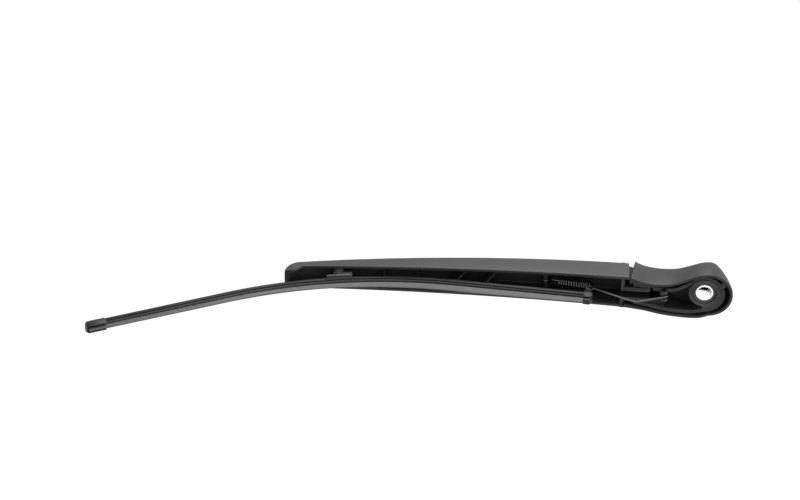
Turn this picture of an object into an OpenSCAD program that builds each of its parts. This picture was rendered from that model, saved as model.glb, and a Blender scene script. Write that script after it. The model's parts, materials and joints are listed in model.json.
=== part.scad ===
// Rear wiper arm with a flat-beam blade, in millimetres.
// The origin is the mouth of the spindle bore. The arm reaches along -X, the glass lies towards -Y,
// and +Z is the sideways direction of the arm.

/* [Spindle bore] */
// Radius of the bore that the spindle fills
bore_r = 5.5; // [5:0.1:6]
// Wall of the bright bush around the bore
bush_wall = 1.15; // [0.9:0.05:1.6]
// Length of the bush along the spindle
bush_len = 12; // [10:0.5:12.5]
// Width of the sunk ring around the bush
sunk_ring_w = 3; // [2:0.25:3.5]
// Depth of the sunk ring
sunk_ring_depth = 1.6; // [1:0.2:3]
// Width of the raised ring around the sunk one
raised_ring_w = 2.2; // [1.5:0.1:2.6]
// Height of the raised ring above the casting's face
raised_ring_h = 0.8; // [0.4:0.1:1.2]
// Radius of the recess for the spindle nut
nut_recess_r = 8; // [7.5:0.1:8.4]

/* [Head] */
// Radius of the head's round end in plan
head_r = 18.9; // [18.6:0.1:19.4]
// How far the round end's centre lies beyond the bore
head_centre_x = 2.4; // [2:0.1:3]
// How far the round end's centre lies to the far side
head_centre_z = -1.6; // [-2:0.1:-1.4]
// Place of the cover's open end on its rim
head_end_x = -55; // [-55.4:0.1:-54]
// How much further the open end's back edge is set back
head_end_slant = 3.6; // [3:0.1:4]
// Wall of the outer cover
cover_wall = 2; // [1.6:0.1:2.3]
// Height of the cover's rim on the glass side
cover_rim_y = -1; // [-2:0.1:-0.5]
// Height of the cover's back over the round end
cover_back_y = 18.2; // [18:0.1:18.8]
// Extra height of the cover's back at its open end
cover_rise = 5; // [4.6:0.1:5.2]
// Corner radius along the cover's back
cover_corner_r = 3; // [2:0.25:3.5]
// Place where the cover's back starts to slope down to the round end
slope_start_x = 7.8; // [7.4:0.1:8.4]
// Height of the cover at the foot of that slope
slope_foot_y = 3.4; // [2.6:0.1:4.4]

/* [Casting] */
// Wall of the casting
casting_wall = 3; // [2.4:0.1:3.2]
// Floor of the casting
casting_floor = 2.4; // [2:0.1:3]
// Height of the casting's back
casting_back_y = 14.6; // [14.4:0.1:14.8]
// Open end of the casting
casting_end_x = -53.3; // [-53.6:0.1:-52.5]
// Radius of the casting's round end
casting_r = 16; // [15.6:0.1:16.1]
// How far the casting's round end lies short of the bore's middle
casting_centre_x = -0.6; // [-0.8:0.1:-0.4]
// Right end of the room for the arm's cheeks
cheek_room_x = -39; // [-39.4:0.1:-38]

/* [Arm hinge] */
// Place of the hinge pin along the arm
hinge_x = -49; // [-49.4:0.1:-48.6]
// Height of the hinge pin
hinge_y = 17; // [16.6:0.1:17.3]
// Radius of the hinge pin
hinge_pin_r = 2.2; // [1.9:0.1:2.3]
// Wall of the sleeves around the hinge pin
sleeve_wall = 0.8; // [0.6:0.1:0.9]
// Radial clearance of a running pin
run_gap = 0.06; // [0.03:0.01:0.09]
// Sideways clearance between cheeks and ears
side_gap = 0.35; // [0.3:0.05:0.6]
// Radius of the ears and cheeks around the hinge pin
ear_r = 3.9; // [3.7:0.1:3.9]
// Width of the slot between the cheeks
slot_w = 6; // [5:0.25:6.5]
// Middle of the slot
slot_z = -1.8; // [-2.2:0.1:-1.4]
// Thickness of each cheek
cheek_t = 3.2; // [2.8:0.1:3.3]
// Reach of the cheeks beyond the hinge pin
cheek_reach = 8.5; // [7.5:0.25:8.8]

/* [Arm] */
// Place of the arm's end at the hinge, on the near side
arm_end_x = -56.4; // [-57:0.1:-56.2]
// How much further back the parting between arm and head lies on the far side
parting_skew = 5; // [4:0.1:5.2]
// Place of the arm's nose
nose_x = -315; // [-318:0.5:-312]
// Width of the channel at the hinge end
arm_w_hinge = 27.9; // [26.5:0.1:28.5]
// Width of the channel at the nose
arm_w_nose = 19.6; // [18.8:0.1:20.6]
// Wall of the channel
arm_wall = 2; // [1.6:0.1:2.2]
// Radius of the arc that the arm's back follows
back_arc_r = 1212; // [1190:2:1240]
// Place of the highest point of the back
back_crest_x = -215; // [-218:0.5:-212]
// Height of the highest point of the back
back_crest_y = 32; // [31.8:0.1:33]
// Radius of the arc that the channel's rim follows
rim_arc_r = 2100; // [2060:5:2140]
// Place of the highest point of the rim
rim_crest_x = -350.6; // [-352:0.2:-349]
// Height of the highest point of the rim
rim_crest_y = 21.3; // [21.1:0.1:21.5]
// Corner radius along the channel's back
arm_corner_r = 3; // [2:0.25:3.4]
// How much each side leans in towards the back
arm_draft = 0.5; // [0.2:0.1:0.8]
// Length of the rounded nose
nose_len = 13; // [11:0.5:15]
// How far the nose's lip reaches below the rim
nose_lip = 4.4; // [3.8:0.1:4.5]
// Place of the arm's end wall
end_wall_x = -61.8; // [-62.2:0.1:-61.4]
// Turn of the end wall in plan
end_wall_turn = 4.4; // [3:0.2:5]
// Thickness of the end wall and of the inner ribs
rib_t = 2.4; // [2:0.1:2.6]

/* [Spring and link] */
// Radius of the anchor pin in the head and of the spring pin in the arm
anchor_r = 1.7; // [1.5:0.1:1.8]
// Place of the anchor pin along the arm
anchor_x = -30.5; // [-31:0.1:-30]
// Height of the anchor pin
anchor_y = -0.4; // [-0.6:0.1:0]
// Place of the spring pin along the arm
spring_pin_x = -119; // [-120:0.25:-118]
// Height of the spring pin
spring_pin_y = 20.6; // [20.2:0.1:20.8]
// Plane of the spring and the link
link_z = -1.8; // [-2:0.1:-1.6]
// Wire radius of the link
link_wire_r = 0.75; // [0.65:0.05:0.9]
// Wire radius of the spring
spring_wire_r = 0.62; // [0.5:0.02:0.66]
// Mean coil radius of the spring
spring_r = 3.1; // [2.8:0.05:3.3]
// Number of turns of the spring
spring_turns = 11; // [9:1:12]
// Distance from the spring pin to the first turn
spring_lead = 9.8; // [9:0.1:10]
// Length of the coiled part
spring_len = 23.2; // [22:0.2:24]

/* [Blade] */
// Place of the blade pin along the arm
blade_x = -274.5; // [-276:0.5:-273]
// Height of the blade pin
blade_pin_y = 23.6; // [23.4:0.1:23.8]
// Radius of the blade pin
blade_pin_r = 2; // [1.7:0.1:2.1]
// Height of the blade's back under the pin
blade_back_y = 15.9; // [15.6:0.1:16.2]
// Turn of the blade as parked
blade_tilt = 5.4; // [5:0.1:5.8]
// Length of the blade from the pin to its inner end, along its back
blade_half = 192; // [186:0.5:193]
// How much longer the blade's outer half is
blade_outer_extra = 7.6; // [5:0.2:8]
// Radius of the blade's middle stretch
blade_mid_r = 342; // [335:1:350]
// Half angle of the middle stretch
blade_mid_a = 14.7; // [14:0.1:15]
// Width of the blade over its spoilers
blade_w = 8.2; // [7.8:0.1:8.8]
// Height of the spoilers
spoiler_h = 3; // [2.8:0.1:3.4]
// Thickness of the two steel strips
rail_t = 0.9; // [0.8:0.05:1]
// Gap between the two strips, which the rubber's neck fills
rail_gap = 1.4; // [1.2:0.1:1.8]
// Distance from the strips to the tip of the wiping lip
lip_reach = 5.2; // [4.6:0.1:6]
// Width of the rubber's shoulder under the strips
shoulder_w = 5.6; // [5:0.1:6]
// Clearance between the pieces of the blade
blade_gap = 0.1; // [0.06:0.02:0.14]
// Length of the clip in the middle of the blade
adapter_len = 20; // [18:0.5:24]
// Width of the clip
adapter_w = 9.6; // [9:0.1:10.4]
// Length of the cap at the outer end of the blade
cap_left_len = 15.6; // [13:0.2:18]
// Length of the cap at the inner end of the blade
cap_right_len = 6; // [5:0.2:8]

/* [Nut cover] */
// Radius of the flip-up cover
nut_cover_r = 9; // [8.7:0.1:9.2]
// Thickness of the flip-up cover
nut_cover_t = 1.9; // [1.6:0.1:2]
// Clear gap around the flip-up cover
nut_cover_gap = 0.45; // [0.35:0.05:0.6]
// Distance from the bore to the cover's pin
nut_pin_x = -12.2; // [-12.5:0.1:-11.9]
// Radius of the cover's pin
nut_pin_r = 0.9; // [0.7:0.05:1]
// Width of the cover's knuckle
knuckle_w = 8; // [7:0.25:9]

/* [Hidden] */
$fn = 64;

// Cut depth that makes a hole pass a face cleanly
eps = 0.05;

// General curves

// Height of an arc with its crest at the given place
function arc_y(x, crest_x, crest_y, r) = crest_y - r + sqrt(r * r - (x - crest_x) * (x - crest_x));

function mix(a, b, t) = a + (b - a) * t;

// Index of the control point at or before x
function segment_of(pts, x, i = 0) =
    (i >= len(pts) - 2 || x < pts[i + 1][0]) ? i : segment_of(pts, x, i + 1);

// Slope of the smooth curve at a control point
function slope_at(pts, i) =
    let (a = max(i - 1, 0), b = min(i + 1, len(pts) - 1))
    (pts[b][1] - pts[a][1]) / (pts[b][0] - pts[a][0]);

// Smooth curve through control points, read at x
function smooth_y(pts, x) =
    let (
        i = segment_of(pts, x),
        w = pts[i + 1][0] - pts[i][0],
        t = (x - pts[i][0]) / w,
        m0 = slope_at(pts, i) * w,
        m1 = slope_at(pts, i + 1) * w
    )
    (2 * pow(t, 3) - 3 * t * t + 1) * pts[i][1] + (pow(t, 3) - 2 * t * t + t) * m0
    + (3 * t * t - 2 * pow(t, 3)) * pts[i + 1][1] + (pow(t, 3) - t * t) * m1;

// One channel section at x, from the near rim over the back to the far rim.
// The corner arcs have corner_steps pieces each.
corner_steps = 4;
function channel_ring(x, near_z, far_z, rim_y, back_y, r, draft) =
    let (
        rr = min(r, (near_z - far_z) * 0.38, (back_y - rim_y) * 0.7),
        zn = near_z - draft,
        zf = far_z + draft
    )
    concat(
        [[x, rim_y, near_z]],
        [for (i = [0 : corner_steps]) let (a = 90 * i / corner_steps)
            [x, back_y - rr + rr * sin(a), zn - rr + rr * cos(a)]],
        [[x, back_y, (zn + zf) / 2]],
        [for (i = [0 : corner_steps]) let (a = 90 - 90 * i / corner_steps)
            [x, back_y - rr + rr * sin(a), zf + rr - rr * cos(a)]],
        [[x, rim_y, far_z]]
    );

// A thin-walled channel that is open at its first ring and closed at its last one
module channel_shell(outer, inner) {
    m = len(outer);
    n = len(outer[0]);
    points = concat([for (r = outer) each r], [for (r = inner) each r]);
    o = function (i, j) i * n + j;
    k = function (i, j) m * n + i * n + j;
    faces = concat(
        [for (i = [0 : m - 2]) for (j = [0 : n - 2])
            each [[o(i, j), o(i + 1, j), o(i + 1, j + 1)], [o(i, j), o(i + 1, j + 1), o(i, j + 1)]]],
        [for (i = [0 : m - 2]) for (j = [0 : n - 2])
            each [[k(i, j), k(i + 1, j + 1), k(i + 1, j)], [k(i, j), k(i, j + 1), k(i + 1, j + 1)]]],
        [for (i = [0 : m - 2])
            each [[o(i, 0), k(i, 0), k(i + 1, 0)], [o(i, 0), k(i + 1, 0), o(i + 1, 0)]]],
        [for (i = [0 : m - 2])
            each [[o(i, n - 1), k(i + 1, n - 1), k(i, n - 1)], [o(i, n - 1), o(i + 1, n - 1), k(i + 1, n - 1)]]],
        [for (j = [0 : n - 2])
            each [[o(0, j), o(0, j + 1), k(0, j + 1)], [o(0, j), k(0, j + 1), k(0, j)]]],
        closing(m - 1, n, 0, false),
        closing(m - 1, n, m * n, true),
        [[o(m - 1, 0), k(m - 1, 0), k(m - 1, n - 1)], [o(m - 1, 0), k(m - 1, n - 1), o(m - 1, n - 1)]]
    );
    polyhedron(points = points, faces = faces, convexity = 6);
}

// Faces that close the last ring
function closing(last, n, base, flip) =
    let (at = base + last * n)
    [for (j = [1 : n - 2]) flip ? [at, at + j, at + j + 1] : [at, at + j + 1, at + j]];

function unit(v) = v / norm(v);

// A round wire along a list of points. Its section is carried along without twist.
module wire(path, r, sides = 8) {
    m = len(path);
    tangents = [for (i = [0 : m - 1])
        unit(path[min(i + 1, m - 1)] - path[max(i - 1, 0)])];
    sideways = [for (i = 0, u = unit(cross(tangents[0], [0, 0, 1])); i < m; i = i + 1,
        u = i < m ? unit(u - (u * tangents[i]) * tangents[i]) : u) u];
    points = [for (i = [0 : m - 1]) for (j = [0 : sides - 1])
        let (
            u = sideways[i],
            v = cross(tangents[i], u),
            a = 360 * (j + 0.5) / sides
        )
        path[i] + r * (cos(a) * u + sin(a) * v)];
    faces = concat(
        [for (i = [0 : m - 2]) for (j = [0 : sides - 1])
            let (a = i * sides + j, b = i * sides + (j + 1) % sides, c = a + sides, d = b + sides)
            each [[a, c, b], [b, c, d]]],
        [[for (j = [0 : sides - 1]) j]],
        [[for (j = [0 : sides - 1]) m * sides - 1 - j]]
    );
    polyhedron(points = points, faces = faces, convexity = 10);
}

// Points on an arc of the link's plane
function plane_arc(cx, cy, r, a0, a1, steps) =
    [for (i = [0 : steps]) let (a = mix(a0, a1, i / steps)) [cx + r * cos(a), cy + r * sin(a), link_z]];

// A cylinder along Z between two heights
module pin_z(x, y, r, z0, z1) {
    translate([x, y, z0]) cylinder(r = r, h = z1 - z0);
}

// A cylinder along Y between two heights
module pin_y(r, y0, y1) {
    translate([0, y1, 0]) rotate([90, 0, 0]) cylinder(r = r, h = y1 - y0);
}

// A plan outline in X and Z raised along Y
module raise_y(y0, y1) {
    translate([0, y1, 0]) rotate([90, 0, 0]) linear_extrude(height = y1 - y0) children();
}

// Head

// Control points of the neck's two sides in plan, ending on the round end
head_top_z = head_centre_z + head_r;
head_low_z = head_centre_z - head_r;
near_side = [[-55, 14.2], [-44, 9.8], [-33, 8.2], [-22, 9.4], [-11, 13.7], [-3, 16.5], [head_centre_x, head_top_z]];
far_side = [[-55, -12.4], [-44, -15.4], [-33, -19], [-22, -21.2], [-11, -22.5], [-3, -22.3], [head_centre_x, head_low_z]];

function head_near(x) = smooth_y(near_side, x);
function head_far(x) = smooth_y(far_side, x);

// Height of the cover's back along the head
cover_back = [
    [-56, cover_back_y + cover_rise], [-40, cover_back_y + cover_rise], [-28, cover_back_y + cover_rise * 0.72],
    [-15, cover_back_y + cover_rise * 0.16], [-8, cover_back_y], [head_centre_x, cover_back_y]
];
neck_steps = 22;
round_steps = 9;
tip_a = 87;

// The cover's far side reaches further than the arm's skew, and is set back only near its back edge
cover_skew = parting_skew + 0.75;
far_slant = 1.9;

// Sections of the cover, drawn in by one wall for the inner surface
function cover_rings(inset) = concat(
    [for (i = [0 : neck_steps])
        let (
            x = mix(head_end_x, head_centre_x, i / neck_steps),
            early = 1 - i / neck_steps
        )
        [for (p = channel_ring(x, head_near(x) - inset, head_far(x) + inset, cover_rim_y,
                smooth_y(cover_back, x) - inset, cover_corner_r - inset * 0.8, 0.3))
            let (
                across = (head_near(x) - p[2]) / (head_near(x) - head_far(x)),
                up = (p[1] - cover_rim_y) / (cover_back_y + cover_rise - cover_rim_y)
            )
            [p[0] + mix(head_end_slant * up, far_slant * pow(up, 3), across) * pow(early, 8)
                - cover_skew * across * pow(early, 5),
                p[1], p[2]]]],
    [for (i = [1 : round_steps])
        let (
            a = tip_a * i / round_steps,
            r = head_r - inset,
            reach = r * sin(a),
            half = r * cos(a),
            x = head_centre_x + reach,
            c = cover_corner_r - inset * 0.8 + 3 * pow(sin(a), 4)
        )
        channel_ring(x, head_centre_z + half, head_centre_z - half, cover_rim_y, end_back_y(x, inset), c,
            0.3 * cos(a))]
);

// Height of the back over the round end, where it slopes down, for a surface drawn in by inset
slope_run = head_centre_x + head_r - slope_start_x;
slope_fall = (cover_back_y - slope_foot_y) / slope_run;
function end_back_y(x, inset) = min(
    cover_back_y - inset,
    cover_back_y - inset * sqrt(1 + slope_fall * slope_fall) - slope_fall * (x - slope_start_x)
);

// Closed plan outline of the casting, drawn in by inset
casting_centre_z = -1.6;
casting_near = [[-55, 11.2], [-44, 6.9], [-33, 4.7], [-22, 4.2], [-11, 9.4], [-4.5, 13.4],
    [casting_centre_x, casting_centre_z + casting_r]];
casting_far = [[-55, -9.4], [-44, -12.2], [-33, -15.8], [-22, -18], [-11, -18.9], [-4.5, -18.2],
    [casting_centre_x, casting_centre_z - casting_r]];
function casting_outline(inset, x0, steps = 20) = concat(
    [for (i = [0 : steps]) let (x = mix(x0, casting_centre_x, i / steps)) [x, smooth_y(casting_near, x) - inset]],
    [for (i = [1 : 15]) let (a = 90 - 180 * i / 16)
        [casting_centre_x + (casting_r - inset) * cos(a), casting_centre_z + (casting_r - inset) * sin(a)]],
    [for (i = [steps : -1 : 0]) let (x = mix(x0, casting_centre_x, i / steps)) [x, smooth_y(casting_far, x) + inset]]
);

// Sideways places of cheeks and ears
cheek_near_z0 = slot_z + slot_w / 2;
cheek_near_z1 = cheek_near_z0 + cheek_t;
cheek_far_z1 = slot_z - slot_w / 2;
cheek_far_z0 = cheek_far_z1 - cheek_t;
ear_near_z0 = cheek_near_z1 + side_gap;
ear_far_z1 = cheek_far_z0 - side_gap;
thick_wall_end_x = -31;
plate_end_x = -56;
pin_near_z = smooth_y(casting_near, hinge_x + ear_r);
pin_far_z = smooth_y(casting_far, hinge_x);

module head_cover() color([0.16, 0.16, 0.17]) difference() {
    union() {
        channel_shell(cover_rings(0), cover_rings(cover_wall));
        // Lugs that hold the flip-up cover's pin
        for (s = [-1, 1])
            translate([nut_pin_x - 2, casting_back_y + 0.3, s * (knuckle_w / 2 + 1.7) - 1.3])
                cube([4, cover_back_y - cover_wall - casting_back_y, 2.6]);
    }
    // Opening over the nut, with the notch for the knuckle
    pin_y(nut_cover_r + nut_cover_gap, casting_back_y, cover_back_y + 2);
    translate([nut_pin_x - nut_cover_t / 2 - 1.1, casting_back_y, -knuckle_w / 2 - nut_cover_gap])
        cube([8, cover_back_y, knuckle_w + 2 * nut_cover_gap]);
    pin_z(nut_pin_x, cover_back_y - nut_cover_t / 2, nut_pin_r, -knuckle_w / 2 - 3.2, knuckle_w / 2 + 3.2);
}

sunk_ring_r = bore_r + bush_wall + sunk_ring_w;

// Everything of the casting stays under this side profile
module casting_profile(inset) {
    foot = head_centre_x + head_r;
    linear_extrude(height = 60, center = true) polygon([
        [casting_end_x - 2, -5], [foot, -5], [foot, end_back_y(foot, inset)],
        [slope_start_x - (inset * sqrt(1 + slope_fall * slope_fall) - cover_back_y + casting_back_y) / slope_fall,
            casting_back_y],
        [casting_end_x - 2, casting_back_y]
    ]);
}

module head_casting() color([0.24, 0.24, 0.25]) difference() {
    union() {
        difference() {
            intersection() {
                raise_y(0, casting_back_y) polygon(casting_outline(0, casting_end_x));
                casting_profile(cover_wall + 1);
            }
            // Cavity between the hinge end and the boss
            difference() {
                raise_y(-eps, casting_back_y - casting_floor)
                    polygon(casting_outline(casting_wall, casting_end_x - 1));
                pin_y(sunk_ring_r + raised_ring_w, -1, casting_back_y);
                translate([-2, -1, -30]) cube([30, 30, 60]);
            }
            // The hinge end is open through the floor
            translate([casting_end_x - 1, -eps, ear_far_z1])
                cube([cheek_room_x - casting_end_x + 1, casting_back_y + 1, ear_near_z0 - ear_far_z1]);
        }
        pin_y(sunk_ring_r + raised_ring_w, -raised_ring_h, 1);
        // Ears for the hinge pin
        hinge_ear(ear_near_z0, pin_near_z);
        hinge_ear(pin_far_z, ear_far_z1);
        // Plate on the near side that closes the gap between arm and cover
        intersection() {
            raise_y(2, hinge_y + 2.4) polygon([
                [plate_end_x, pin_near_z - 0.4], [plate_end_x, 11], [-54, 10.8], [-52, 10], [-50, 9.1],
                [-50, pin_near_z - 0.4]
            ]);
            linear_extrude(height = 60, center = true) polygon([
                [plate_end_x, 0], [plate_end_x, hinge_y + 2.4], [-52.9, hinge_y], [-50, hinge_y - 1], [-50, 0]
            ]);
        }
        // Lugs for the anchor pin
        anchor_lug(slot_z + 2.2);
        anchor_lug(slot_z - 4.4);
        // Lug that centres the round end in the cover
        translate([head_centre_x, 0, head_centre_z]) rotate([0, -35, 0]) translate([12.6, 0, -2.2])
            cube([head_r - cover_wall - 0.4 - 12.6, 2.4, 4.4]);
        // Thick far wall beside the hinge
        intersection() {
            raise_y(3, casting_back_y - 1) polygon(casting_outline(0.4, casting_end_x));
            translate([casting_end_x, 0, -30]) cube([thick_wall_end_x - casting_end_x, 30, 30 + ear_far_z1]);
        }
    }
    pin_y(bore_r + bush_wall, -2, bush_len);
    pin_y(sunk_ring_r, -2, sunk_ring_depth - raised_ring_h);
    pin_y(nut_recess_r, bush_len, casting_back_y + 1);
    pin_z(hinge_x, hinge_y, hinge_pin_r, pin_far_z - 1, pin_near_z + 1);
    pin_z(anchor_x, anchor_y, anchor_r, slot_z - 9, slot_z + 9);
}

// An ear stands up to the hinge pin from the casting's wall
module hinge_ear(z0, z1) {
    pin_z(hinge_x, hinge_y, ear_r, z0, z1);
    translate([casting_end_x, 1, z0]) cube([ear_r * 2, hinge_y - 1, z1 - z0]);
}

// An anchor lug hangs from the floor to the anchor pin
module anchor_lug(z0) {
    pin_z(anchor_x, anchor_y, anchor_r + 1.1, z0, z0 + 2.2);
    translate([anchor_x - anchor_r - 1.1, anchor_y, z0])
        cube([2 * anchor_r + 2.2, casting_back_y - casting_floor - anchor_y + eps, 2.2]);
}

module spindle_bush() color([0.86, 0.86, 0.88]) difference() {
    pin_y(bore_r + bush_wall, 0, bush_len);
    pin_y(bore_r, -1, bush_len + 1);
}

module hinge_pin() color([0.7, 0.7, 0.72])
    pin_z(hinge_x, hinge_y, hinge_pin_r, pin_far_z, pin_near_z);

module anchor_pin() color([0.7, 0.7, 0.72])
    pin_z(anchor_x, anchor_y, anchor_r, slot_z - 4.4, slot_z + 4.4);

// Nut cover

module nut_cover() color([0.15, 0.15, 0.16]) difference() {
    union() {
        pin_y(nut_cover_r, cover_back_y - nut_cover_t, cover_back_y);
        translate([nut_pin_x, cover_back_y - nut_cover_t, -knuckle_w / 2])
            cube([-nut_pin_x - nut_cover_r + 3, nut_cover_t, knuckle_w]);
        pin_z(nut_pin_x, cover_back_y - nut_cover_t / 2, nut_cover_t / 2, -knuckle_w / 2, knuckle_w / 2);
        // Rim that snaps into the opening
        difference() {
            pin_y(nut_cover_r - 1.2, casting_back_y + 0.4, cover_back_y - 1);
            pin_y(nut_cover_r - 2.4, casting_back_y, cover_back_y - nut_cover_t);
            translate([-nut_cover_r - 1, casting_back_y, -knuckle_w / 2 - 1])
                cube([6, cover_back_y - nut_cover_t - casting_back_y, knuckle_w + 2]);
        }
    }
    pin_z(nut_pin_x, cover_back_y - nut_cover_t / 2, nut_pin_r + run_gap, -knuckle_w, knuckle_w);
}

module nut_cover_pin() color([0.7, 0.7, 0.72])
    pin_z(nut_pin_x, cover_back_y - nut_cover_t / 2, nut_pin_r, -knuckle_w / 2 - 3, knuckle_w / 2 + 3);

// Arm

function arm_half(x) = mix(arm_w_hinge, arm_w_nose, (arm_end_x - x) / (arm_end_x - nose_x)) / 2;
function arm_back(x) = arc_y(x, back_crest_x, back_crest_y, back_arc_r);
function arm_rim(x) = arc_y(x, rim_crest_x, rim_crest_y, rim_arc_r);

arm_steps = 26;
nose_steps = 8;
nose_start_x = nose_x + nose_len;
// How far the nose's sides draw in, and the height of its front edge
nose_corner = 2.4;
nose_edge = 1.6;

// Sections of the arm's channel, drawn in by one wall for the inner surface
function arm_rings(inset) = concat(
    [for (i = [0 : arm_steps])
        let (x = mix(arm_end_x, nose_start_x, i / arm_steps))
        [for (p = channel_ring(x, arm_half(x) - inset, -arm_half(x) + inset, arm_rim(x), arm_back(x) - inset,
                arm_corner_r - inset * 0.8, arm_draft))
            [p[0] - (i == 0 ? parting_skew * (0.5 - p[2] / arm_w_hinge) : 0), p[1], p[2]]]],
    [for (i = [1 : nose_steps])
        let (
            a = tip_a * i / nose_steps,
            x = nose_start_x - (nose_len - inset) * sin(a),
            half = arm_half(nose_start_x) - inset - nose_corner * (1 - cos(a)),
            rim = arm_rim(nose_start_x) - nose_lip * min(1, 3 * i / nose_steps),
            top = arm_back(nose_start_x) - inset
        )
        channel_ring(x, half, -half, rim, mix(rim + nose_edge, top, cos(a)),
            arm_corner_r - inset * 0.8, arm_draft * cos(a))]
);

// A rib across the channel, hung from the back
module cross_rib(x, depth, t = 1.6, skew = 0) {
    half = arm_half(x) - arm_draft - arm_wall / 2;
    top = arm_back(x) - arm_wall / 2;
    translate([x, top - depth, 0]) rotate([0, skew, 0])
        translate([-t / 2, 0, -half]) cube([t, depth, 2 * half]);
}

// Side profile of the cheeks that reach into the head
cheek_low_y = -0.7;
module cheek_profile() {
    translate([hinge_x, hinge_y]) circle(r = ear_r - 0.1);
    polygon([
        [end_wall_x + 1, arm_rim(end_wall_x)],
        [end_wall_x + 1, hinge_y - 4.4],
        [hinge_x - ear_r + 0.2, hinge_y - 4.4],
        [hinge_x - ear_r + 0.2, hinge_y],
        [hinge_x + ear_r - 0.2, hinge_y],
        [hinge_x + cheek_reach, hinge_y - 6],
        [hinge_x + cheek_reach, cheek_low_y + 1.5],
        [hinge_x + cheek_reach - 2, cheek_low_y]
    ]);
}

module arm_shell() color([0.17, 0.17, 0.18]) difference() {
    union() {
        channel_shell(arm_rings(0), arm_rings(arm_wall));
        // End wall, slotted for the link
        difference() {
            end_half = arm_half(end_wall_x) - arm_wall / 2;
            translate([end_wall_x, arm_rim(end_wall_x) + 0.1, end_half]) rotate([0, end_wall_turn, 0])
                translate([0, 0, -2 * end_half])
                cube([rib_t, arm_back(end_wall_x) - arm_rim(end_wall_x) - arm_wall / 2, 2 * end_half]);
            translate([end_wall_x - 3, 0, slot_z - slot_w / 2]) cube([rib_t + 4, 30, slot_w]);
        }
        for (z = [cheek_near_z0, cheek_far_z0])
            translate([0, 0, z]) linear_extrude(height = cheek_t) cheek_profile();
        // Ribs that stiffen the channel
        cross_rib(-160, 10, 1.2, 36);
        cross_rib(-183, 10, 1.2, 36);
        cross_rib(-215, 4);
        cross_rib(-240, 4);
        // Lugs for the spring pin
        for (z = [link_z + 4.2, link_z - 5.6]) spring_lug(z);
    }
    pin_z(hinge_x, hinge_y, hinge_pin_r + sleeve_wall, cheek_far_z0 - 1, cheek_near_z1 + 1);
    pin_z(spring_pin_x, spring_pin_y, anchor_r, link_z - 9, link_z + 9);
    pin_z(blade_x, blade_pin_y, blade_pin_r, -blade_pin_half, blade_pin_half);
}

// A lug hangs from the channel's back to the spring pin
module spring_lug(z0) {
    top = arm_back(spring_pin_x) - arm_wall / 2;
    pin_z(spring_pin_x, spring_pin_y, anchor_r + 1, z0, z0 + 1.4);
    translate([spring_pin_x - anchor_r - 1, spring_pin_y, z0])
        cube([2 * anchor_r + 2, top - spring_pin_y, 1.4]);
}

module hinge_sleeve(z0) color([0.62, 0.6, 0.55]) difference() {
    pin_z(hinge_x, hinge_y, hinge_pin_r + sleeve_wall, z0, z0 + cheek_t);
    pin_z(hinge_x, hinge_y, hinge_pin_r + run_gap, z0 - 1, z0 + cheek_t + 1);
}
module hinge_bush_near() hinge_sleeve(cheek_near_z0);
module hinge_bush_far() hinge_sleeve(cheek_far_z0);

module spring_pin() color([0.7, 0.7, 0.72])
    pin_z(spring_pin_x, spring_pin_y, anchor_r, link_z - 5.6, link_z + 5.6);

blade_pin_half = arm_half(blade_x) - arm_draft - 1;
module blade_pin() color([0.7, 0.7, 0.72])
    pin_z(blade_x, blade_pin_y, blade_pin_r, -blade_pin_half, blade_pin_half);

// Link and spring, on the straight line from the anchor pin to the spring pin

pull_run = [anchor_x - spring_pin_x, anchor_y - spring_pin_y];
pull_dir = pull_run / norm(pull_run);
pull_up = [-pull_dir[1], pull_dir[0]];
function on_pull(s, up, side) = [
    spring_pin_x + s * pull_dir[0] + up * pull_up[0],
    spring_pin_y + s * pull_dir[1] + up * pull_up[1],
    link_z + side
];
spring_s0 = spring_lead;
spring_s1 = spring_lead + spring_len;
hook_r = anchor_r + link_wire_r + 0.12;
// The spring's last leg stands across the pull line here, and the link hooks around it low down
leg_s = spring_s1 + 2.2;
hook_up = -3.4;
// Bend of the link under the hinge pin
bend_at = [-52.8, -8.6];
bend_r = 4;

module spring_link() color([0.55, 0.55, 0.57]) {
    join = on_pull(leg_s + 2.8, hook_up, 0);
    wire(
        concat(
            plane_arc(anchor_x, anchor_y, hook_r, 150, -78, 12),
            plane_arc(bend_at[0] + 1.4, bend_at[1] + bend_r, bend_r, -80, -116, 4),
            [[-61.5, -3.7, link_z], join, on_pull(leg_s + 2.1, hook_up + 0.1, 0)]
        ),
        link_wire_r
    );
    // Crosswise hook around the spring's leg
    wire(
        [
            on_pull(leg_s + 4.6, hook_up - 0.5, 0), join, on_pull(leg_s + 1.6, hook_up, -0.7),
            on_pull(leg_s + 0.8, hook_up, -1.5), on_pull(leg_s - 0.6, hook_up, -1.7),
            on_pull(leg_s - 1.5, hook_up, -1.1), on_pull(leg_s - 1.8, hook_up, 0),
            on_pull(leg_s - 1.5, hook_up, 1.1), on_pull(leg_s - 0.6, hook_up, 1.7), on_pull(leg_s + 0.8, hook_up, 1.6)
        ],
        link_wire_r + 0.04
    );
}

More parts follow.
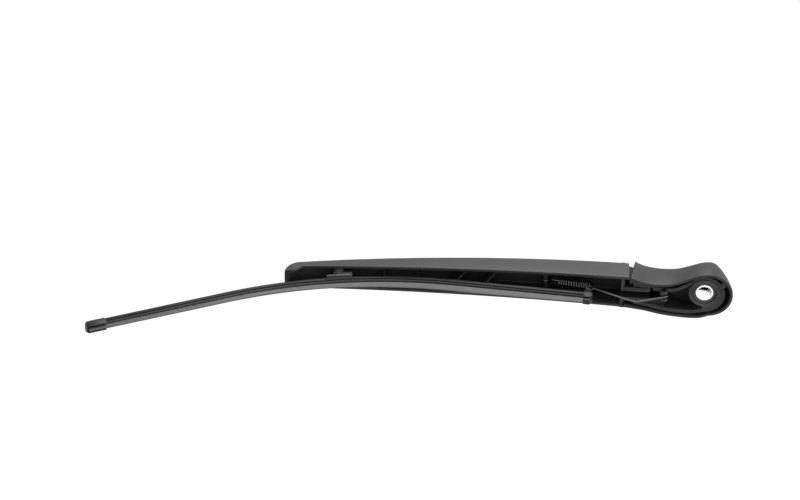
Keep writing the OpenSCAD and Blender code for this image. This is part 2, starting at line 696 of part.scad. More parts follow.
coil_sides = 6;
coil_steps = 14;
module tension_spring() color([0.6, 0.6, 0.62]) wire(
    concat(
        // Hook over the spring pin
        [for (i = [0 : 6]) let (a = 20 + 250 * i / 6, r = anchor_r + spring_wire_r + 0.12)
            on_pull(r * cos(a), -r * sin(a), 0)],
        [on_pull(spring_s0 - 3.2, 1.6, 0), on_pull(spring_s0 - 1, spring_r * 0.96, 0)],
        [for (i = [0 : spring_turns * coil_steps])
            let (t = i / coil_steps, a = 360 * t)
            on_pull(mix(spring_s0, spring_s1, t / spring_turns), spring_r * cos(a), spring_r * sin(a))],
        // Leg and eye for the link
        [on_pull(spring_s1 + 1, spring_r * 0.86, 0.3), on_pull(leg_s - 0.3, spring_r * 0.4, 0.1)],
        [on_pull(leg_s, -1, 0), on_pull(leg_s, hook_up - 0.4, 0)],
        [on_pull(leg_s - 0.6, hook_up - 1.5, 0), on_pull(leg_s - 1.8, hook_up - 2, 0)],
        [on_pull(leg_s - 3, hook_up - 1.7, 0)]
    ),
    spring_wire_r, coil_sides
);

// Blade

blade_mid_len = blade_mid_r * blade_mid_a * PI / 180;
// Direction of the back at a distance s to the right of the middle, in the blade's own plane
function run_angle(s) = min(s, blade_mid_len) / blade_mid_r * 180 / PI;
function run_point(s) =
    let (a = run_angle(s), past = max(0, s - blade_mid_len))
    [blade_mid_r * sin(a) + past * cos(a), blade_mid_r * (cos(a) - 1) - past * sin(a)];

// Puts a child that is drawn about the middle of the back into the arm's frame
module on_blade() {
    translate([blade_x, blade_back_y, 0]) rotate([0, 0, blade_tilt]) children();
}

// The section, drawn with X away from the glass and Y sideways, along the back from s0 to s1:
// on the middle arc, and straight on from its end
module run_right(s0, s1) {
    if (s0 < blade_mid_len)
        translate([0, -blade_mid_r, 0]) rotate([0, 0, 90 - run_angle(s1)])
            rotate_extrude(angle = run_angle(s1) - run_angle(s0), $fn = 720)
                translate([blade_mid_r, 0]) children();
    if (s1 > blade_mid_len) {
        start = max(s0, blade_mid_len - eps);
        at = run_point(blade_mid_len);
        translate([at[0], at[1], 0]) rotate([0, 0, -blade_mid_a]) translate([start - blade_mid_len, 0, 0])
            rotate([90, 0, 90]) linear_extrude(height = s1 - start) children();
    }
}

module run_left(s0, s1) {
    mirror([1, 0, 0]) run_right(s0, s1) children();
}

module run_both(s_left, s_right) {
    run_right(0, s_right) children();
    run_left(0, s_left) children();
}

// Heights in the section, from the back towards the glass
rail_top = -spoiler_h + 0.9;
rail_low = rail_top - rail_t;
shoulder_top = rail_low - blade_gap;
shoulder_low = shoulder_top - 1.1;
lip_root = shoulder_low - 0.9;
lip_tip = rail_low - lip_reach;

module spoiler_section() polygon([
    [0, -blade_w / 2 + 1.4], [-0.5, -blade_w / 2 + 0.6], [-1.3, -blade_w / 2],
    [-spoiler_h - 0.6, -blade_w / 2], [-spoiler_h - 0.6, -blade_w / 2 + 1.3],
    [rail_low - blade_gap, -blade_w / 2 + 1.3], [rail_low - blade_gap, -blade_w / 2 + 0.7],
    [rail_top + blade_gap, -blade_w / 2 + 0.7], [rail_top + blade_gap, -2.2],
    [-0.9, -1.7], [-0.9, 1.7],
    [rail_top + blade_gap, 2.2], [rail_top + blade_gap, blade_w / 2 - 0.7],
    [rail_low - blade_gap, blade_w / 2 - 0.7], [rail_low - blade_gap, blade_w / 2 - 1.3],
    [-spoiler_h - 0.6, blade_w / 2 - 1.3], [-spoiler_h - 0.6, blade_w / 2],
    [-1.3, blade_w / 2], [-0.5, blade_w / 2 - 0.6], [0, blade_w / 2 - 1.4]
]);

module rail_section() translate([rail_low, rail_gap / 2])
    square([rail_t, blade_w / 2 - 0.8 - rail_gap / 2]);

module rubber_section() {
    side = [
        [rail_top + 1, 1.3], [rail_top + blade_gap, 1.7], [rail_top + blade_gap, rail_gap / 2 - blade_gap],
        [shoulder_top, rail_gap / 2 - blade_gap], [shoulder_top, shoulder_w / 2],
        [shoulder_low, shoulder_w / 2 - 0.3], [shoulder_low - 0.2, 0.45], [lip_root + 0.1, 0.45],
        [lip_root, 1.3], [lip_root - 0.6, 1.2], [lip_tip, 0.35]
    ];
    polygon(concat(side, [for (i = [len(side) - 1 : -1 : 0]) [side[i][0], -side[i][1]]]));
}

blade_outer = blade_half + blade_outer_extra;
rubber_end_gap = 1.2;
rail_end_gap = 3;
spoiler_start = adapter_len / 2 + 0.4;

module rail_near() color([0.3, 0.3, 0.31]) on_blade() 
    run_both(blade_outer - rail_end_gap, blade_half - rail_end_gap) rail_section();
module rail_far() color([0.3, 0.3, 0.31]) on_blade() 
    run_both(blade_outer - rail_end_gap, blade_half - rail_end_gap) mirror([0, 1]) rail_section();
module wiper_rubber() color([0.22, 0.22, 0.22]) on_blade() 
    run_both(blade_outer - rubber_end_gap, blade_half - rubber_end_gap) rubber_section();
module spoiler_left() color([0.12, 0.12, 0.12]) on_blade()
    run_left(spoiler_start, blade_outer - cap_left_len) spoiler_section();
module spoiler_right() color([0.12, 0.12, 0.12]) on_blade()
    run_right(spoiler_start, blade_half - cap_right_len) spoiler_section();

// Solid that a cap or clip leaves free for rails and rubber
module inner_section(gap) {
    translate([rail_low - gap, -blade_w / 2 + 0.8 - gap]) square([rail_t + 2 * gap, blade_w - 1.6 + 2 * gap]);
    translate([lip_tip - 3, -shoulder_w / 2 - gap]) square([rail_low - lip_tip + 3.05, shoulder_w + 2 * gap]);
    translate([rail_top, -1.7 - gap]) square([1 + gap, 3.4 + 2 * gap]);
}

cap_w = blade_w + 0.8;
cap_side = shoulder_top - 0.3;
module cap_section(rise, depth) polygon([
    [0.5 + rise, -cap_w / 2 + 1.6], [rise - 0.1, -cap_w / 2 + 0.6], [rise - 1.2, -cap_w / 2],
    [cap_side, -cap_w / 2], [cap_side - depth, -cap_w / 2 + 1.3],
    [cap_side - depth, cap_w / 2 - 1.3], [cap_side, cap_w / 2],
    [rise - 1.2, cap_w / 2], [rise - 0.1, cap_w / 2 - 0.6], [0.5 + rise, cap_w / 2 - 1.6]
]);

// A cap that ends at reach, with a step in towards its closed end
module end_cap(reach, cap_len, rise, depth) difference() {
    union() {
        run_right(reach - cap_len + blade_gap, reach - 1.2) cap_section(rise, depth);
        run_right(reach - 1.3, reach) offset(delta = -0.8) cap_section(rise, depth);
    }
    run_right(reach - cap_len - 1, reach - 1) inner_section(blade_gap);
}
module end_cap_left() color([0.13, 0.13, 0.13]) on_blade() mirror([1, 0, 0]) end_cap(blade_outer, cap_left_len, 0, 2.8);
module end_cap_right() color([0.13, 0.13, 0.13]) on_blade() end_cap(blade_half, cap_right_len, 1.4, 2.6);

// Cradle that holds the rails together in the middle
module blade_clamp() color([0.14, 0.14, 0.14]) on_blade() difference() {
    run_both(adapter_len / 2, adapter_len / 2) polygon([
        [rail_top + 1.9, -blade_w / 2 + 0.4], [-1.3, -blade_w / 2], [-spoiler_h - 0.6, -blade_w / 2],
        [-spoiler_h - 0.6, blade_w / 2], [-1.3, blade_w / 2], [rail_top + 1.9, blade_w / 2 - 0.4]
    ]);
    run_both(adapter_len / 2 + 1, adapter_len / 2 + 1) inner_section(blade_gap);
}

// Clip that snaps over the blade pin. Its barrel fills the channel's width with a little play.
barrel_half = arm_half(blade_x) - arm_draft - arm_wall - 0.5;
module blade_adapter() color([0.14, 0.14, 0.14]) difference() {
    union() {
        on_blade() linear_extrude(height = adapter_w, center = true) polygon([
            [-adapter_len / 2 + 1, rail_top + 2.1], [-adapter_len / 2 + 1, rail_top + 3.4],
            [-adapter_len / 2 + 2, rail_top + 3.8], [-1, rail_top + 4.2], [0, rail_top + 6.2],
            [adapter_len / 2, rail_top + 6.6], [adapter_len / 2 + 0.8, rail_top + 5.8],
            [adapter_len / 2 - 1, rail_top + 2.1]
        ]);
        pin_z(blade_x, blade_pin_y, blade_pin_r + 1.6, -barrel_half, barrel_half);
        translate([blade_x - blade_pin_r - 2, blade_back_y + 3, -adapter_w / 2])
            cube([2 * blade_pin_r + 4, blade_pin_y - blade_back_y - 3, adapter_w]);
    }
    pin_z(blade_x, blade_pin_y, blade_pin_r + run_gap, -barrel_half - 1, barrel_half + 1);
}

head_cover();
head_casting();
spindle_bush();
hinge_pin();
anchor_pin();
nut_cover();
nut_cover_pin();
arm_shell();
hinge_bush_near();
hinge_bush_far();
spring_pin();
blade_pin();
spring_link();
tension_spring();
blade_adapter();
blade_clamp();
rail_near();
rail_far();
spoiler_left();
spoiler_right();
wiper_rubber();
end_cap_left();
end_cap_right();
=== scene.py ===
"""Looks of the rear wiper arm: materials, outer skins, round wires, trim, floor, light and camera.

Shapes are drawn in millimetres, and each place is put into the frame, which is in metres, by MM.
"""
import math

import bpy
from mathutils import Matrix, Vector
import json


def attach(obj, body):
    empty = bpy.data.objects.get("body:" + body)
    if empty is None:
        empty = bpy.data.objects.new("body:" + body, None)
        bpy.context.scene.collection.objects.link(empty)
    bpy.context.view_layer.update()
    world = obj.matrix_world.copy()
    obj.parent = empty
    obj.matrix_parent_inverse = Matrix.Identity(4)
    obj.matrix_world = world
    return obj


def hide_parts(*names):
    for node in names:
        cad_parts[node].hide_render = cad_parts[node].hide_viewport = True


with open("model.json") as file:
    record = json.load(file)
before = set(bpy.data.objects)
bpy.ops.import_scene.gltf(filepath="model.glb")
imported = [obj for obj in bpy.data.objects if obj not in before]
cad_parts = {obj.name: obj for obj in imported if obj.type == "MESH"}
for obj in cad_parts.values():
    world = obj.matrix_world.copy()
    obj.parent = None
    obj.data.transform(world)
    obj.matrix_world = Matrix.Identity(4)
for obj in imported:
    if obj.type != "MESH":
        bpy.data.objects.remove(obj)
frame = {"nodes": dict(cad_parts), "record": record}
nodes = frame["nodes"]
record = frame["record"]
body_of_node = {node: body for body, held in record["behaviour"]["bodies"].items() for node in held}
slot_of = {sub["node"]: sub["material_slot"] for sub in record["subparts"]}

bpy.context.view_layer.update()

MM = 0.001


# Materials

TONE_SCALE = 35.0
TONE_DETAIL, GRAIN_DETAIL = 4.0, 2.0
NOISE_ROUGHNESS = 0.55
# The part of the noise's range over which the tone and the gloss go from one end to the other
TONE_SPAN = (0.35, 0.65)
GRAIN_SPAN = (0.3, 0.7)
# How open a face is, from deep inside hollows to in the open, and how far around it that is measured. Deep
# in hollows the colour is darkened as painted shade.
HOLLOW_SHADE_SPAN = (0.25, 0.85)
SHADE_REACH_MM, SHADE_SAMPLES = 22.0, 8
HOLLOW_ROUGHNESS = 0.9


def add_node(tree, kind, inputs=None, **settings):
    """A new node with its settings, and with the values of its inputs by name."""
    node = tree.nodes.new(kind)
    for name, value in settings.items():
        setattr(node, name, value)
    for name, value in (inputs or {}).items():
        node.inputs[name].default_value = value
    return node


def noise(tree, coord, scale, detail, stretch):
    mapping = add_node(tree, "ShaderNodeMapping", {"Scale": stretch})
    texture = add_node(tree, "ShaderNodeTexNoise",
                       {"Scale": scale, "Detail": detail, "Roughness": NOISE_ROUGHNESS})
    tree.links.new(coord, mapping.inputs["Vector"])
    tree.links.new(mapping.outputs["Vector"], texture.inputs["Vector"])
    return texture.outputs["Fac"]


def tone_ramp(tree, factor, dark, light):
    node = tree.nodes.new("ShaderNodeValToRGB")
    for element, position, colour in zip(node.color_ramp.elements, TONE_SPAN, (dark, light)):
        element.position = position
        element.color = (*colour, 1)
    tree.links.new(factor, node.inputs["Fac"])
    return node.outputs["Color"]


def map_range(tree, value, span, target=(0.0, 1.0)):
    """Maps a span of the value to the target, and holds it there outside the span."""
    node = add_node(tree, "ShaderNodeMapRange", {
        "From Min": span[0], "From Max": span[1], "To Min": target[0], "To Max": target[1]})
    tree.links.new(value, node.inputs["Value"])
    return node.outputs["Result"]


def hollow_shade_mask(tree):
    """1 on open faces, falling to 0 deep inside narrow hollows: the mask of the painted shade in hollows.
    """
    node = add_node(tree, "ShaderNodeAmbientOcclusion", {"Distance": SHADE_REACH_MM * MM},
                    samples=SHADE_SAMPLES)
    return map_range(tree, node.outputs["AO"], HOLLOW_SHADE_SPAN)


def mix_value(tree, factor, start, end):
    """A number that goes from start to end with the factor; start and end are sockets or numbers."""
    node = tree.nodes.new("ShaderNodeMix")
    for name, value in (("Factor", factor), ("A", start), ("B", end)):
        if isinstance(value, float):
            node.inputs[name].default_value = value
        else:
            tree.links.new(value, node.inputs[name])
    return node.outputs["Result"]


def surface(name, dark, light, rough, metallic=0.0, specular=0.5, grain=900.0, bump_mm=0.05,
            bump_strength=0.3, stretch=(1, 1, 1), hollow_shade_share=1.0):
    """A slow change of tone from dark to light, with a fine grain in the gloss and in the bump.

    In hollows the colour is darkened to the given share as painted shade, and the gloss goes dull.
    """
    mat = bpy.data.materials.new(name)
    mat.use_nodes = True
    tree = mat.node_tree
    tree.nodes.clear()
    out = tree.nodes.new("ShaderNodeOutputMaterial")
    bsdf = add_node(tree, "ShaderNodeBsdfPrincipled",
                    {"Specular IOR Level": specular, "Metallic": metallic})
    coord = tree.nodes.new("ShaderNodeTexCoord").outputs["Object"]
    slow = noise(tree, coord, TONE_SCALE, TONE_DETAIL, stretch)
    fine = noise(tree, coord, grain, GRAIN_DETAIL, stretch)
    colour = tone_ramp(tree, slow, dark, light)
    gloss = map_range(tree, fine, GRAIN_SPAN, rough)
    # Painted shade: deep in hollows the colour is darkened, standing in for the shade that falls there
    if hollow_shade_share < 1.0:
        unshaded_share = hollow_shade_mask(tree)
        shade = add_node(tree, "ShaderNodeVectorMath", operation="SCALE")
        tree.links.new(colour, shade.inputs[0])
        tree.links.new(mix_value(tree, unshaded_share, hollow_shade_share, 1.0), shade.inputs["Scale"])
        colour = shade.outputs["Vector"]
        gloss = mix_value(tree, unshaded_share, HOLLOW_ROUGHNESS, gloss)
    bump = add_node(tree, "ShaderNodeBump", {"Strength": bump_strength, "Distance": bump_mm * MM})
    tree.links.new(fine, bump.inputs["Height"])
    tree.links.new(bump.outputs["Normal"], bsdf.inputs["Normal"])
    tree.links.new(colour, bsdf.inputs["Base Color"])
    tree.links.new(gloss, bsdf.inputs["Roughness"])
    tree.links.new(bsdf.outputs["BSDF"], out.inputs["Surface"])
    return mat


def grey(v):
    """A neutral grey, very slightly blue."""
    return (v, v, v * 1.02)


LOOKS = {
    # Moulded and cast pieces
    # The last number given to these three is the share of colour left deep in hollows, as painted shade
    "arm_plastic": surface("arm_plastic", grey(0.046), grey(0.058), (0.40, 0.50), specular=0.36,
                           grain=1600.0, hollow_shade_share=0.2),
    "head_plastic": surface("head_plastic", grey(0.035), grey(0.044), (0.38, 0.48), specular=0.32,
                            grain=1600.0, hollow_shade_share=0.25),
    "casting": surface("casting", grey(0.036), grey(0.054), (0.5, 0.66), specular=0.4, grain=700.0,
                       bump_strength=0.5, bump_mm=0.1, hollow_shade_share=0.25),
    "blade_plastic": surface("blade_plastic", grey(0.016), grey(0.024), (0.36, 0.46), specular=0.34,
                             grain=1500.0),
    # A paler, lit copy of the blade's plastic: painted highlight
    "lit_clip_plastic": surface("lit_clip_plastic", grey(0.10), grey(0.13), (0.36, 0.46), grain=1500.0),
    # Bare and coated steel
    # Bright bare steel, partly its own colour; its near-white, mostly non-metal finish also stands in for
    # the bore's reflection, as a painted reflection
    "bush_steel": surface("bush_steel", grey(0.84), grey(0.92), (0.3, 0.42), metallic=0.15, grain=500.0,
                          stretch=(1, 8, 1)),
    "pin_steel": surface("pin_steel", grey(0.022), grey(0.032), (0.45, 0.55), metallic=0.6, grain=700.0),
    "spring_steel": surface("spring_steel", grey(0.12), grey(0.18), (0.22, 0.32), metallic=1.0),
    "link_steel": surface("link_steel", grey(0.09), grey(0.14), (0.32, 0.45), metallic=1.0),
    "rail_steel": surface("rail_steel", grey(0.03), grey(0.04), (0.3, 0.4), grain=1200.0),
    # Sleeves and rubber
    "sleeve": surface("sleeve", (0.10, 0.095, 0.085), (0.13, 0.125, 0.11), (0.5, 0.6)),
    "squeegee": surface("squeegee", grey(0.064), grey(0.082), (0.38, 0.48), grain=1000.0,
                        stretch=(0.2, 1, 1)),
}
# The clip is the blade's plastic too, painted paler as a lit copy of it: a painted highlight for its thin
# lit top edge
look_of = {**slot_of, "blade_adapter": "lit_clip_plastic"}


def finish_with(obj, look):
    obj.data.materials.clear()
    obj.data.materials.append(LOOKS[look])


for node_name, node_object in nodes.items():
    finish_with(node_object, look_of[node_name])


# Steps that the pieces share

CREASE_DEG = 32.0
BEVEL_SEGMENTS = 2


def add_object(name, data):
    obj = bpy.data.objects.new(name, data)
    bpy.context.scene.collection.objects.link(obj)
    return obj


def operate(piece, operator, **settings):
    """Runs an operator on this piece alone."""
    bpy.context.view_layer.objects.active = piece
    piece.select_set(True)
    operator(**settings)
    piece.select_set(False)


def apply_modifiers(piece):
    for mod in list(piece.modifiers):
        operate(piece, bpy.ops.object.modifier_apply, modifier=mod.name)


def smooth_shade(piece, crease_deg=CREASE_DEG):
    operate(piece, bpy.ops.object.shade_smooth_by_angle, angle=math.radians(crease_deg))


def add_bevel(piece, width_mm):
    bevel = piece.modifiers.new("bevel", "BEVEL")
    bevel.width = width_mm * MM
    bevel.segments = BEVEL_SEGMENTS
    return bevel


def loft(name, rings):
    """A closed mesh through rings of equally many places, with a flat face at either end."""
    n = len(rings[0])
    last = (len(rings) - 1) * n
    faces = [tuple(range(n))[::-1], tuple(range(last, last + n))]
    faces += [(start + i, start + (i + 1) % n, start + n + (i + 1) % n, start + n + i)
              for start in range(0, last, n) for i in range(n)]
    mesh = bpy.data.meshes.new(name)
    mesh.from_pydata([place for ring in rings for place in ring], [], faces)
    return add_object(name, mesh)


# Skins of the moulded and cast parts and the bush, with smooth faces and rounded edges

WELD_MM = 0.01
FLAT_DEG = 0.1
# Widths of the rounded edges. Some of the casting's edges are too short to round, so it has none.
EDGE_MM = {
    "arm_shell": 0.25, "head_cover": 0.25, "head_casting": 0.0, "nut_cover": 0.2, "blade_adapter": 0.2,
    "end_cap_left": 0.3, "end_cap_right": 0.3, "spoiler_left": 0.15, "spoiler_right": 0.15,
    "spindle_bush": 0.25,
}


def skin(node, edge_mm):
    piece = add_object(node + "_skin", nodes[node].data.copy())
    weld = piece.modifiers.new("weld", "WELD")
    weld.merge_threshold = WELD_MM * MM
    flat = piece.modifiers.new("flat", "DECIMATE")
    flat.decimate_type = "DISSOLVE"
    flat.angle_limit = math.radians(FLAT_DEG)
    if edge_mm > 0:
        bevel = add_bevel(piece, edge_mm)
        bevel.limit_method = "ANGLE"
        bevel.angle_limit = math.radians(CREASE_DEG)
    apply_modifiers(piece)
    smooth_shade(piece)
    finish_with(piece, look_of[node])
    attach(piece, body_of_node[node])
    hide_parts(node)


for node_name, edge_mm in EDGE_MM.items():
    skin(node_name, edge_mm)


# Spring and link as round wire, on the same line as the solids

SPRING_PIN = Vector((-119.0, 20.6, -1.8))
ANCHOR_PIN = Vector((-30.5, -0.4, -1.8))
PIN_R = 1.7
WIRE_PLAY = 0.12
SPRING_WIRE_R, LINK_WIRE_R = 0.5, 0.68
# The crosswise hook is a little thicker than the line that it starts from, so no two faces coincide
CROSS_WIRE_R = LINK_WIRE_R + 0.04
COIL_START, COIL_LENGTH, COIL_TURNS, COIL_R = 9.8, 23.2, 12, 3.1
TURN_STEPS = 20
# Where the spring's last leg stands across the line of pull, and how low the link hooks around it
LEG_AT = COIL_START + COIL_LENGTH + 2.2
HOOK_UP = -3.4
SPRING_HOOK_DEG = (20, 270)
ANCHOR_HOOK_DEG = (150, -78)
LOW_BEND_X, LOW_BEND_Y, LOW_BEND_R = -51.4, -4.6, 4.0
LOW_BEND_DEG = (-80, -116)
PAST_BEND = Vector((-61.5, -3.7, -1.8))
WIRE_RESOLUTION, RUN_RESOLUTION, RUN_ORDER = 5, 4, 3
WIRE_CREASE_DEG = 50

pull = (ANCHOR_PIN - SPRING_PIN).normalized()
pull_up = Vector((-pull.y, pull.x, 0.0))


def on_pull(s, up, side=0.0):
    """A place at s on the line from the spring's pin to the anchor pin, up across it and to the side."""
    return (SPRING_PIN + pull * s + pull_up * up + Vector((0, 0, side))) * MM


def arc_angles(degrees, steps):
    start, end = degrees
    return [math.radians(start + (end - start) * i / steps) for i in range(steps + 1)]


def plane_arc(x, y, r, degrees, steps):
    """Places on an arc in the link's plane."""
    return [Vector((x + r * math.cos(a), y + r * math.sin(a), SPRING_PIN.z)) * MM
            for a in arc_angles(degrees, steps)]


def wire_piece(name, runs, node, body, spline_type="NURBS"):
    """One mesh of round wires; each run is a list of places and a radius."""
    curve = bpy.data.curves.new(name, "CURVE")
    curve.dimensions = "3D"
    curve.bevel_depth = MM
    curve.bevel_resolution = WIRE_RESOLUTION
    curve.use_fill_caps = True
    curve.resolution_u = RUN_RESOLUTION
    for places, radius in runs:
        spline = curve.splines.new(spline_type)
        spline.points.add(len(places) - 1)
        for point, place in zip(spline.points, places):
            point.co = (*place, 1)
            point.radius = radius
        if spline_type == "NURBS":
            spline.order_u = RUN_ORDER
            spline.use_endpoint_u = True
    piece = add_object(name, curve)
    operate(piece, bpy.ops.object.convert, target="MESH")
    smooth_shade(piece, WIRE_CREASE_DEG)
    finish_with(piece, slot_of[node])
    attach(piece, body)
    if body == body_of_node[node]:
        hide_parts(node)


def spring_coil():
    steps = COIL_TURNS * TURN_STEPS
    angles = [2 * math.pi * i / TURN_STEPS for i in range(steps + 1)]
    return [on_pull(COIL_START + COIL_LENGTH * i / steps, COIL_R * math.cos(a), COIL_R * math.sin(a))
            for i, a in enumerate(angles)]


def spring_leg():
    """From the coil's end down across the line of pull, and around the link's hook."""
    return [on_pull(LEG_AT + s, up, side) for s, up, side in (
        (-1.2, COIL_R * 0.86, 0.3), (-0.3, COIL_R * 0.4, 0.1), (0, -1, 0), (0, HOOK_UP - 0.4, 0),
        (-0.6, HOOK_UP - 1.5, 0), (-1.8, HOOK_UP - 2, 0), (-3, HOOK_UP - 1.7, 0))]


def spring_hook():
    """Around the spring's pin, and on along a straight leg inside the coil.

    The hook goes with the arm, and its leg runs on inside the coil so that the coil can draw away.
    """
    r = PIN_R + SPRING_WIRE_R + WIRE_PLAY
    around = [on_pull(r * math.cos(a), -r * math.sin(a)) for a in arc_angles(SPRING_HOOK_DEG, 12)]
    return around + [on_pull(s, up) for s, up in ((3.2, 1.9), (4.6, 0.5), (6.0, 0), (10.0, 0), (13.2, 0))]


def link_line():
    """Around the anchor pin, down to the low bend, and up to the spring's leg."""
    hook_r = PIN_R + LINK_WIRE_R + WIRE_PLAY
    anchor_hook = plane_arc(ANCHOR_PIN.x, ANCHOR_PIN.y, hook_r, ANCHOR_HOOK_DEG, 24)
    low_bend = plane_arc(LOW_BEND_X, LOW_BEND_Y, LOW_BEND_R, LOW_BEND_DEG, 8)
    rise = [PAST_BEND * MM, on_pull(LEG_AT + 2.8, HOOK_UP), on_pull(LEG_AT + 2.1, HOOK_UP + 0.1)]
    return anchor_hook + low_bend + rise


def link_cross_hook():
    """Crosswise around the spring's leg."""
    return [on_pull(LEG_AT + s, HOOK_UP + up, side) for s, up, side in (
        (4.6, -0.5, 0), (2.8, 0, 0), (1.6, 0, -0.7), (0.8, 0, -1.5), (-0.6, 0, -1.7), (-1.5, 0, -1.1),
        (-1.8, 0, 0), (-1.5, 0, 1.1), (-0.6, 0, 1.7), (0.8, 0, 1.6))]


wire_piece("spring_wire", [(spring_coil() + spring_leg(), SPRING_WIRE_R)], "tension_spring", "link")
wire_piece("spring_hook", [(spring_hook(), SPRING_WIRE_R)], "tension_spring", "arm")
wire_piece("link_wire", [(link_line(), LINK_WIRE_R), (link_cross_hook(), CROSS_WIRE_R)],
           "spring_link", "link", "POLY")


# Thin trim: two plates at the arm's end that close the view through the hinge

def prism(name, outline, low_z, high_z, place, slot, body, edge_mm=0.15):
    """An outline raised along Z, and set in the frame by the function place."""
    piece = loft(name, [[place(x, y, z) for x, y in outline] for z in (low_z, high_z)])
    add_bevel(piece, edge_mm)
    apply_modifiers(piece)
    smooth_shade(piece)
    finish_with(piece, slot)
    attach(piece, body)


def plain(x, y, z):
    return Vector((x, y, z)) * MM


prism("near_seal", [(-58.0, 1.4), (-55.6, 1.2), (-55.6, 17.0), (-58.0, 17.4)],
      11.15, 12.2, plain, "arm_plastic", "arm")
prism("far_seal", [(-63.0, 1.0), (-60.1, 0.8), (-60.1, 16.5), (-60.7, 18.4), (-63.0, 19.0)],
      -13.7, -12.75, plain, "arm_plastic", "arm")


# Blade: a skirt under its inner end cap, and the rubber with its soft lip

BLADE_AT = Vector((-274.5, 15.9, 0.0))
BLADE_TILT = math.radians(5.4)
BLADE_MID_A, BLADE_MID_R = math.radians(14.7), 342.0
RUBBER_START, RUBBER_END, RUBBER_STEP = -198.4, 190.8, 4.0
# One side of the rubber's section as heights from the blade's back and half widths, from the head
# down to the lip's root
RUBBER_SIDE = [(-1.1, 1.3), (-2.0, 1.7), (-2.0, 0.6), (-3.1, 0.6), (-3.1, 2.8), (-4.2, 2.5),
               (-4.4, 0.45), (-5.0, 0.45), (-5.1, 1.3), (-5.7, 1.2)]
LIP_TIP_UP, LIP_TIP_HALF = -8.2, 0.35
# Over this stretch of the blade the lip hangs lower, most in the middle of it, and leans to the far side
SAG_START, SAG_LENGTH = -30.0, 250.0
LIP_SAG, LEAN_TO_SAG = 1.1, 0.9


def on_back(s, up, z):
    """A place by its distance s along the blade's back from the middle and its height from the back."""
    bend = max(-BLADE_MID_A, min(BLADE_MID_A, s / BLADE_MID_R))
    past = s - BLADE_MID_R * bend
    x = (BLADE_MID_R + up) * math.sin(bend) + past * math.cos(bend)
    y = (BLADE_MID_R + up) * math.cos(bend) - BLADE_MID_R - past * math.sin(bend)
    turned = Vector((x * math.cos(BLADE_TILT) - y * math.sin(BLADE_TILT),
                     x * math.sin(BLADE_TILT) + y * math.cos(BLADE_TILT), z))
    return (BLADE_AT + turned) * MM


def rubber_ring(s):
    """The rubber's section at s, down the near side and up the far side."""
    sag = LIP_SAG * max(0.0, math.sin(math.pi * (s - SAG_START) / SAG_LENGTH))
    near = [on_back(s, up, half) for up, half in RUBBER_SIDE]
    tip = [on_back(s, LIP_TIP_UP - sag, z - LEAN_TO_SAG * sag) for z in (LIP_TIP_HALF, -LIP_TIP_HALF)]
    far = [on_back(s, up, -half) for up, half in reversed(RUBBER_SIDE)]
    return near + tip + far


def rubber_piece():
    steps = math.ceil((RUBBER_END - RUBBER_START) / RUBBER_STEP)
    rings = [rubber_ring(RUBBER_START + (RUBBER_END - RUBBER_START) * i / steps) for i in range(steps + 1)]
    piece = loft("rubber", rings)
    smooth_shade(piece)
    finish_with(piece, "squeegee")
    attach(piece, "blade")
    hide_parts("wiper_rubber")


prism("cap_skirt", [(186.0, -5.6), (186.0, -8.5), (190.8, -8.7), (191.7, -7.8), (191.7, -5.6)],
      -2.2, 2.2, on_back, "blade_plastic", "blade", 0.4)
rubber_piece()


# Floor and world: white to the camera and in reflections, and pale to all other light

FLOOR_Z = -0.35
FLOOR_SIZE = 14.0
FLOOR_MIDDLE_X = -0.2
FLOOR_GLOW, FLOOR_GLOW_SHARE = 1.15, 0.85
PALE = (0.8, 0.8, 0.8, 1)
WHITE = (1, 1, 1, 1)
WORLD_LIGHT = 0.2


def seen_directly(tree):
    """1 for rays from the camera and from glossy and clear surfaces, and 0 for all others."""
    path = tree.nodes.new("ShaderNodeLightPath")
    factor = path.outputs["Is Camera Ray"]
    for kind in ("Is Glossy Ray", "Is Transmission Ray"):
        most = add_node(tree, "ShaderNodeMath", operation="MAXIMUM")
        tree.links.new(factor, most.inputs[0])
        tree.links.new(path.outputs[kind], most.inputs[1])
        factor = most.outputs[0]
    return factor


def mixed_output(tree, output_kind, factor, shader, seen_shader):
    """Ends the tree in the first shader where the factor is 0 and in the second where it is 1."""
    blend = tree.nodes.new("ShaderNodeMixShader")
    for socket, source in zip(blend.inputs, (factor, shader.outputs[0], seen_shader.outputs[0])):
        tree.links.new(source, socket)
    tree.links.new(blend.outputs[0], tree.nodes.new(output_kind).inputs["Surface"])


def floor_paint():
    """Glows for most of what is seen of it, and the lamps light the rest, so it keeps the shadow."""
    mat = bpy.data.materials.new("floor_paint")
    mat.use_nodes = True
    tree = mat.node_tree
    tree.nodes.clear()
    paint = add_node(tree, "ShaderNodeBsdfDiffuse", {"Color": PALE})
    glow = add_node(tree, "ShaderNodeEmission", {"Strength": FLOOR_GLOW})
    share = add_node(tree, "ShaderNodeMath", operation="MULTIPLY")
    tree.links.new(seen_directly(tree), share.inputs[0])
    share.inputs[1].default_value = FLOOR_GLOW_SHARE
    mixed_output(tree, "ShaderNodeOutputMaterial", share.outputs[0], paint, glow)
    return mat


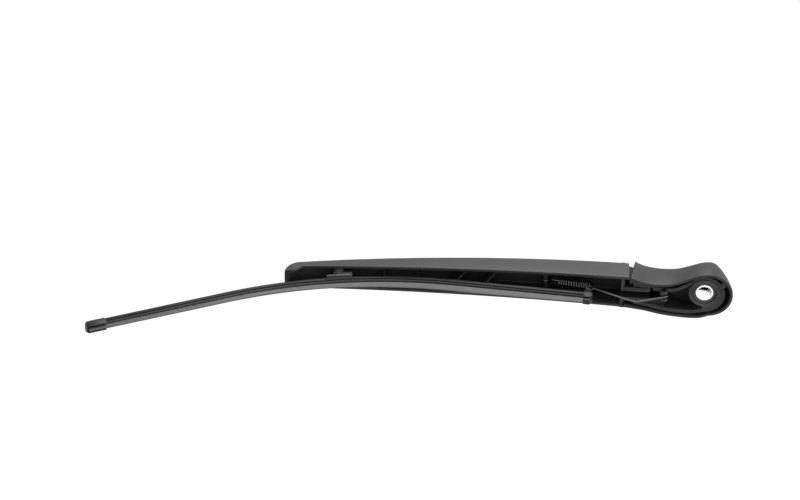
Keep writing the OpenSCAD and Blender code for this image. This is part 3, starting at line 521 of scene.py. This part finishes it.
def studio_world():
    world = bpy.data.worlds.new("studio")
    world.use_nodes = True
    tree = world.node_tree
    tree.nodes.clear()
    pale = add_node(tree, "ShaderNodeBackground", {"Color": PALE, "Strength": WORLD_LIGHT})
    white = add_node(tree, "ShaderNodeBackground", {"Color": WHITE, "Strength": 1.0})
    mixed_output(tree, "ShaderNodeOutputWorld", seen_directly(tree), pale, white)
    return world


bpy.ops.mesh.primitive_plane_add(size=FLOOR_SIZE, location=(FLOOR_MIDDLE_X, 0, FLOOR_Z))
floor = bpy.context.object
floor.name = "floor"
floor.data.materials.append(floor_paint())
bpy.context.scene.world = studio_world()


# Lamps: two soft ones, and a narrow beam from the camera's side that lights only the bore

def lamp(name, kind, place, target, watts, **settings):
    data = bpy.data.lights.new(name, kind)
    data.energy = watts
    for setting, value in settings.items():
        setattr(data, setting, value)
    obj = add_object(name, data)
    obj.location = place
    obj.rotation_euler = (Vector(target) - Vector(place)).to_track_quat("-Z", "Y").to_euler()


lamp("top_light", "AREA", (-0.07, 0.15, 0.56), (-0.07, 0.0, 0.0), 3.8, shape="DISK", size=0.6)
lamp("right_light", "AREA", (1.35, 0.0, 0.3), (-0.02, 0.0, 0.0), 24.0, shape="DISK", size=0.6)
lamp("bore_light", "SPOT", (0.15, -0.75, 0.75), (0.0, 0.0, -0.0008), 95.0,
     shadow_soft_size=0.004, spot_size=math.radians(0.68), spot_blend=1.0)


# The camera looks at the glass side from a little above, and its picture is 600 mm wide

ELEVATION = math.radians(36.0)
VIEW_WIDTH = 0.600
VIEW_MIDDLE_X, VIEW_RISE = -0.22838, 0.03225
CAMERA_DISTANCE = 2.0

to_camera = Vector((0.0, -math.cos(ELEVATION), math.sin(ELEVATION)))
picture_up = Vector((0.0, math.sin(ELEVATION), math.cos(ELEVATION)))
camera_data = bpy.data.cameras.new("camera")
camera_data.type = "ORTHO"
camera_data.ortho_scale = VIEW_WIDTH
camera = add_object("camera", camera_data)
camera.location = Vector((VIEW_MIDDLE_X, 0.0, 0.0)) + picture_up * VIEW_RISE + to_camera * CAMERA_DISTANCE
camera.rotation_euler = (-to_camera).to_track_quat("-Z", "Y").to_euler()
bpy.context.scene.camera = camera
bpy.context.scene.view_settings.view_transform = "Standard"
